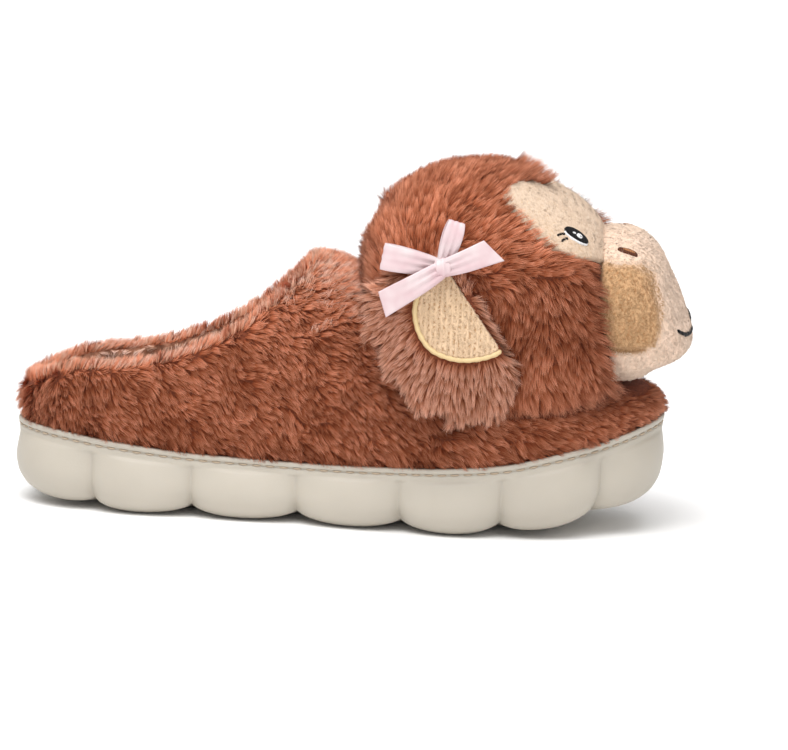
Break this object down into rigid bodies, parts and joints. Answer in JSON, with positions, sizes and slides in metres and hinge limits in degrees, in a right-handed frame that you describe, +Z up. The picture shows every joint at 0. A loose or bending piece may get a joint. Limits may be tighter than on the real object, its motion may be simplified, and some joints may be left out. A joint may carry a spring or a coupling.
{
  "type": "animal slipper",
  "caption": "Right plush slipper with a stuffed monkey head on the vamp, ribbon bow at its ear, low furry collar and a thick sole of puffed lobes.",
  "frame": {"origin": "on the tread's flat spot under the heel", "axes": "+X towards the toe, +Y towards the wearer's left, +Z up"},
  "size_m": [0.2786, 0.1422, 0.1474],
  "materials": {
    "foam": "satin moulded foam, cream",
    "lining": "short pile, reddish brown",
    "fur": "long pile, reddish brown with paler tips",
    "plush": "short curly pile, golden tan",
    "plush_pale": "short pile, pale beige",
    "thread": "black embroidery",
    "thread_brown": "brown embroidery",
    "thread_gold": "satin stitch, pale gold",
    "ribbon": "satin ribbon, pale pink"
  },
  "bodies": {
    "root": {"outsole": "foam", "insole": "lining", "upper": "fur", "head": "fur", "face_panel": "plush", "muzzle": "plush_pale", "mouth": "thread", "eye_right": "thread", "eye_left": "thread", "nostril_right": "thread_brown", "nostril_left": "thread_brown", "ear_right": "fur", "ear_left": "fur", "ear_panel_right": "plush", "ear_panel_left": "plush", "ear_edging_right": "thread_gold", "ear_edging_left": "thread_gold", "bow_knot": "ribbon", "bow_loop_back": "ribbon", "bow_loop_top": "ribbon", "bow_tail_front": "ribbon", "bow_tail_low": "ribbon"}
  },
  "joints": []
}
